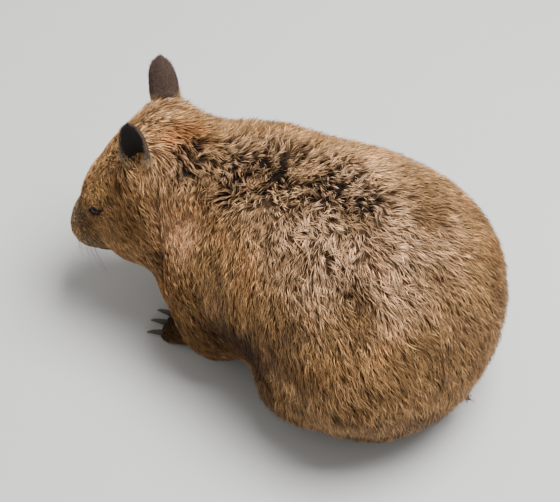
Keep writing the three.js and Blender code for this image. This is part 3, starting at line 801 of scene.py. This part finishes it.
def coat_lie(places, normals):
    """The way the hair points: from the muzzle to the rump, out from the spine and down the sides."""
    x, y, z = places.T / MM
    head = in_head(places)
    back = (0.2 + 0.8 * ramp(y, -100, 100)) * (0.25 + 0.75 * ramp(z, 50, 160))
    body = np.column_stack([0.25 * np.sign(x) * ramp(np.abs(x), 0, 30), back, np.full(len(x), -1.1)])
    belly = ramp(-normals[:, 2], 0.5, 0.9)[:, None]
    body = blend(body, np.array([0, 1, 0]), belly)
    out = np.clip(head[:, 0] / 45, -1, 1)
    down = np.abs(out) ** 1.3
    face = np.column_stack([0.35 * out, 1 - 0.5 * down, -1.0 * down])
    lip = ramp(-head[:, 1], 30, 55)[:, None] * ramp(-head[:, 2], 10, 40)[:, None]
    face = blend(face, np.column_stack([0.5 * out, 0.25 + 0 * out, -1 + 0 * out]), lip)
    face = face @ HEAD_TILT.T
    share = ramp(head[:, 1], 40, 130)[:, None]
    return along_skin(blend(unit(face), unit(body), share), normals)


def coat_length(places):
    head = in_head(places)
    z = places[:, 2] / MM
    length = 17.5 - 6 * (1 - ramp(z, 40, 100)) - 5.5 * (1 - ramp(z, 14, 42))
    length = blend(length, 5, np.clip(2 * spot(places / MM, TAIL, 30), 0, 1))
    length = blend(length, 12.5, 1 - ramp(head[:, 1], 20, 120))
    length = blend(length, 4.2, 1 - ramp(head[:, 1], -72, 20))
    return blend(length, 2.6, 1 - ramp(distance(left_half(head), EYE), 9, 22)) * MM


def coat_width(places):
    """Half the width of a tuft at its root."""
    head = in_head(places)
    fine = 1 - ramp(head[:, 1], -60, 70)
    low = 1 - ramp(places[:, 2] / MM, 20, 60)
    return (0.4 - 0.16 * np.maximum(fine, 0.8 * low)) * MM


def coat_density(places, normals):
    """How thickly the hair grows: finest and thickest on the face, bare on the eyes, nose and soles."""
    head = in_head(places)
    own = left_half(head)
    nose, sole = bareness(places, normals)
    density = 1 + 2.2 * (1 - ramp(head[:, 1], -50, 60)) + 1.2 * (1 - ramp(places[:, 2] / MM, 20, 55))
    density *= (1 - 0.45 * ramp(-normals[:, 2], 0.3, 0.9)) * (1 - 0.1 * ruffled(places))
    density *= (1 - 0.7 * nose) * (1 - sole) * ramp(nostril_share(own), 1.1, 1.8)
    _, near, share = lidded(own)
    clear = np.ones(len(places))
    clear[near] = ramp(share, 1.5, 2.4)
    density *= np.where(distance(own, EYE) < 16, clear, 1)
    lower, gap = near_mouth(head)
    density[lower] *= 0.15 + 0.85 * ramp(gap, 0.8, 2.6)
    return density


def tuft_mesh(
    name, rings, roots, facing, laid, lie, length, height, width, root_tone, tip_tone, pull, gather
):
    """Closed three-sided spikes that rise from their roots, bend over and taper to their tips.

    The pull is how far a tip is drawn aside. The lower the gather, the nearer to the root that begins,
    and the nearer to the tip the colour of the tip begins."""
    count, sides = len(roots), 3
    across = np.cross(lie, facing)
    twist = DRAW.random(count) * 2 * np.pi
    verts, tones, offsets = [], [], []
    for s in np.linspace(0, 1, rings + 1):
        rise = (1 + TUFT_SUNK) * (1 - (1 - s) ** TUFT_BEND) - TUFT_SUNK
        middle = roots + lie * (length * s)[:, None] + facing * (height * rise)[:, None]
        middle += pull * (s**gather)[:, None]
        tone = root_tone + (tip_tone - root_tone) * (s ** np.clip(3.3 - 2 * gather, 0.5, 3))[:, None]
        half = width * (1 - TUFT_TAPER * s**1.5)
        for side in range(sides if s < 1 else 1):
            angle = twist + 2 * np.pi * side / sides
            wide, thick = half * np.cos(angle), half * TUFT_FLATNESS * np.sin(angle)
            ring = across * wide[:, None] + facing * thick[:, None]
            verts.append(middle + (ring if s < 1 else 0))
            tones.append(tone)
            offsets.append([TUFT_PATCH / 2 * (side - 1) * (s < 1), TUFT_PATCH * (s - 0.5)])
    faces = [(0, 1, 2)]
    for ring in range(rings - 1):
        for side in range(sides):
            a, b = ring * sides + side, ring * sides + (side + 1) % sides
            faces += [(a, b + sides, b), (a, a + sides, b + sides)]
    last, tip = (rings - 1) * sides, rings * sides
    faces += [(last + side, tip, last + (side + 1) % sides) for side in range(sides)]
    verts, tones = np.stack(verts, axis=1), np.stack(tones, axis=1)
    verts[:, :, 2] = np.maximum(verts[:, :, 2], 0.3 * MM)
    corners = (np.array(faces)[None] + (np.arange(count) * (tip + 1))[:, None, None]).reshape(-1)
    mesh = bpy.data.meshes.new(name)
    mesh.vertices.add(verts.shape[0] * verts.shape[1])
    mesh.loops.add(len(corners))
    mesh.loops.foreach_set("vertex_index", corners.astype(np.int32))
    mesh.polygons.add(len(corners) // 3)
    mesh.polygons.foreach_set("loop_start", np.arange(0, len(corners), 3, dtype=np.int32))
    put_points(mesh, verts)
    mesh.update(calc_edges=True)
    mesh.shade_smooth()
    painted(mesh, "tone", tones.reshape(-1, 3))
    places = (laid[:, None] + np.array(offsets)).reshape(-1, 2)[corners]
    mesh.uv_layers.new(name="OFBake").data.foreach_set("uv", places.astype(np.float32).ravel())
    return mesh


hair = Finish("hair", Specular_IOR_Level=0.2)
here = hair.node("ShaderNodeTexCoord", output="Object")
strands = hair.node("ShaderNodeTexNoise", {}, {"Vector": here, "Scale": 900.0, "Detail": 2.0})
hair_tone = hair.node("ShaderNodeAttribute", {"attribute_name": "tone"})
hair.wear(Base_Color=hair.shaded(hair_tone, strands * 0.6 + 0.7), Roughness=0.42 + 0.3 * strands)


def joined_tufts(name, mesh):
    """One piece of many tufts."""
    mesh.materials.append(hair.material)
    piece = placed(name, mesh)
    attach(piece, "root")


roots, facing, laid = sown(hide, COAT_TUFTS, coat_density)
wild = ruffled(roots)
centres = np.flatnonzero(DRAW.random(COAT_TUFTS) < 1 / (3.2 + 2.5 * wild))
lock, _ = nearest_of(roots[centres], roots)
lock_wild = wild[centres]
locks = len(centres)
swirl = waves(roots[centres], 0.03, 3) * (0.3 + 0.8 * lock_wild)
swirl += waves(roots[centres], 0.011, 4) * (0.25 + 0.8 * lock_wild)
swirl += DRAW.normal(0, 0.2, locks) * (1 + 2 * lock_wild)
lock_length = DRAW.uniform(0.8, 1.2, locks)
lock_height = DRAW.uniform(0.7, 1.15, locks) * (1 + 0.45 * lock_wild)
lock_light = np.exp(DRAW.normal(0, 0.3, locks) + 0.22 * lock_wild)
wet_hair = lock_wild[lock]
sway = swirl[lock] + DRAW.normal(0, 0.2, COAT_TUFTS) * (1 - 0.7 * wet_hair)
lie = turned(coat_lie(roots, facing), facing, sway)
length = coat_length(roots) * (1 - 0.15 * wet_hair) * lock_length[lock]
length *= DRAW.uniform(0.75, 1.15, COAT_TUFTS)
flat = 0.45 * (1 - ramp(in_head(roots)[:, 1], 0, 90))
under = DRAW.random(COAT_TUFTS) < 0.22 + 0.2 * wet_hair
height = coat_depth(roots) * (1 - flat) * (1 - 0.4 * under) * lock_height[lock]
height *= DRAW.uniform(0.7, 1.15, COAT_TUFTS)
pull = (roots[centres][lock] - roots) * ((0.5 + 0.4 * wet_hair) * (1 - 0.75 * under))[:, None]
gather = 1.2 - 0.65 * wet_hair
root_tone, tip_tone = markings_and_painted_light(roots)
light = (lock_light[lock] * np.exp(DRAW.normal(0, 0.28, COAT_TUFTS)))[:, None]
tip_tone = tinted(tip_tone, root_tone * 2, 0.65 * under) * light
width = coat_width(roots) * DRAW.uniform(0.7, 1.25, COAT_TUFTS)
whole = (roots, facing, laid, lie, length, height, width, root_tone * light, tip_tone, pull, gather)
from_front = np.argsort(roots[:, 1] + 0.3 * roots[:, 2])
for number, chosen in enumerate(np.array_split(from_front, COAT_PIECES), start=1):
    name = f"coat_{number}"
    joined_tufts(name, tuft_mesh(name, 2, *(part[chosen] for part in whole)))


# The ears' hair. Short velvet lies up the back of each ear, a little longer and paler along its rim and
# paler still at its foot. The inner wall is nearly bare.
EAR_TUFTS, EAR_HALF_WIDTH = 4200, 0.2 * MM
VELVET, VELVET_LOW = linear(92, 75, 66), linear(176, 142, 98)
VELVET_WITHIN, VELVET_RIM = linear(44, 33, 28), linear(140, 118, 92)


def fringed(places, normals, cup):
    """1 along the rim of an ear, and 1 on its inner wall."""
    facing = normals @ HEAD_TILT
    within = cupped(in_head(places), facing, cup)
    return ramp(facing @ cup[2], 0.35, 0.75) * (1 - within), within


def ear_density(places, normals, cup):
    base, axis, _ = cup
    rim, within = fringed(places, normals, cup)
    return (1 - 0.95 * within + 1.2 * rim) * ramp((in_head(places) - base) @ axis, -4, 2)


for side, (ear, cup) in ears.items():
    base, axis, _ = cup
    roots, facing, laid = sown(ear, EAR_TUFTS, ear_density, cup)
    rim, within = fringed(roots, facing, cup)
    up = along_skin(np.tile(HEAD_TILT @ axis, (EAR_TUFTS, 1)), facing)
    lie = turned(up, facing, DRAW.normal(0, 0.35, EAR_TUFTS))
    reach = (in_head(roots) - base) @ axis
    length = blend(7.0, 3.0, ramp(reach, 0, 25)) * (1 + 0.5 * rim) * MM
    length *= DRAW.uniform(0.7, 1.3, EAR_TUFTS)
    shade = tinted(np.tile(VELVET, (EAR_TUFTS, 1)), VELVET_LOW, 1 - ramp(reach, 2, 18))
    shade = tinted(shade, VELVET_WITHIN, within)
    shade = tinted(shade, VELVET_RIM, 0.45 * rim)
    shade *= np.exp(DRAW.normal(0, 0.3, EAR_TUFTS))[:, None]
    width = EAR_HALF_WIDTH * DRAW.uniform(0.8, 1.2, EAR_TUFTS)
    mesh = tuft_mesh(
        f"ear_hair_{side}", 2, roots, facing, laid, lie, length, 0.28 * length, width, 0.6 * shade, shade,
        np.zeros((EAR_TUFTS, 3)), np.ones(EAR_TUFTS),
    )
    joined_tufts(f"ear_hair_{side}", mesh)


# The whiskers. Stiff dark hairs stand out of the sides of the muzzle and bend down under their own
# weight, and a few shorter ones stand over each eye.
WHISKERS, WHISKER_HALF_WIDTH, WHISKER_DROOP = 44, 0.22 * MM, 0.22


def whisker_density(places, normals):
    own = left_half(in_head(places))
    muzzle, brow = spot(own, (28, -50, -38), (20, 26, 17)), spot(own, (40, -6, 17), (8, 10, 8))
    return (muzzle > 0.25) + 0.5 * (brow > 0.3)


roots, facing, laid = sown(hide, WHISKERS, whisker_density)
head = in_head(roots)
back, up = 0.55 + 0.01 * (head[:, 1] + 50), -0.35 + 0.012 * (head[:, 2] + 38)
away = np.column_stack([0.9 * np.sign(head[:, 0]), back, up]) @ HEAD_TILT.T
away = unit(away + DRAW.normal(0, 0.12, away.shape))
length = blend(26, 46, ramp(head[:, 1], -68, -35)) * DRAW.uniform(0.6, 1.1, WHISKERS) * MM
shade = linear(60, 46, 36) * np.exp(DRAW.normal(0, 0.4, WHISKERS))[:, None]
droop = np.array([0, 0, -WHISKER_DROOP]) * length[:, None]
mesh = tuft_mesh(
    "whiskers", 6, roots, facing, laid, away, length, 0.1 * length, np.full(WHISKERS, WHISKER_HALF_WIDTH),
    shade, 1.6 * shade, droop, np.full(WHISKERS, 2.0),
)
joined_tufts("whiskers", mesh)


# The floor: a plain pale sheet in a studio.
floor = bpy.data.meshes.new("floor")
mould = bmesh.new()
bmesh.ops.create_grid(mould, x_segments=1, y_segments=1, size=6)
mould.to_mesh(floor)
mould.free()
paper = Finish("paper", Roughness=0.9)
floor.materials.append(paper.wear(Base_Color=(0.54, 0.54, 0.53, 1)))
placed("floor", floor)


# The camera looks down from behind the animal's left shoulder, and the light is a large soft sky over
# its far side.
CAMERA_AZIMUTH, CAMERA_ELEVATION, CAMERA_DISTANCE = math.radians(124.3), math.radians(52.2), 1.9
CAMERA_TARGET = Vector((-4.4, -19.6, 120)) * MM
towards = Vector((
    math.sin(CAMERA_AZIMUTH) * math.cos(CAMERA_ELEVATION),
    -math.cos(CAMERA_AZIMUTH) * math.cos(CAMERA_ELEVATION),
    math.sin(CAMERA_ELEVATION),
))
camera = placed("camera", bpy.data.cameras.new("camera"))
camera.location = CAMERA_TARGET + towards * CAMERA_DISTANCE
camera.rotation_mode = "QUATERNION"
camera.rotation_quaternion = towards.to_track_quat("Z", "Y")
camera.data.lens = 113.6
camera.data.sensor_width = 36
bpy.context.scene.camera = camera

softbox = placed("softbox", bpy.data.lights.new("softbox", "AREA"))
softbox.data.energy = 114
softbox.data.size = 1.1
softbox.location = (-0.3, 0.5, 2.1)
softbox.rotation_mode = "QUATERNION"
softbox.rotation_quaternion = Vector(softbox.location).to_track_quat("Z", "Y")
studio = bpy.data.worlds.new("studio")
studio.use_nodes = True
studio.node_tree.nodes["Background"].inputs["Color"].default_value = (1, 0.98, 0.95, 1)
studio.node_tree.nodes["Background"].inputs["Strength"].default_value = 0.6
bpy.context.scene.world = studio
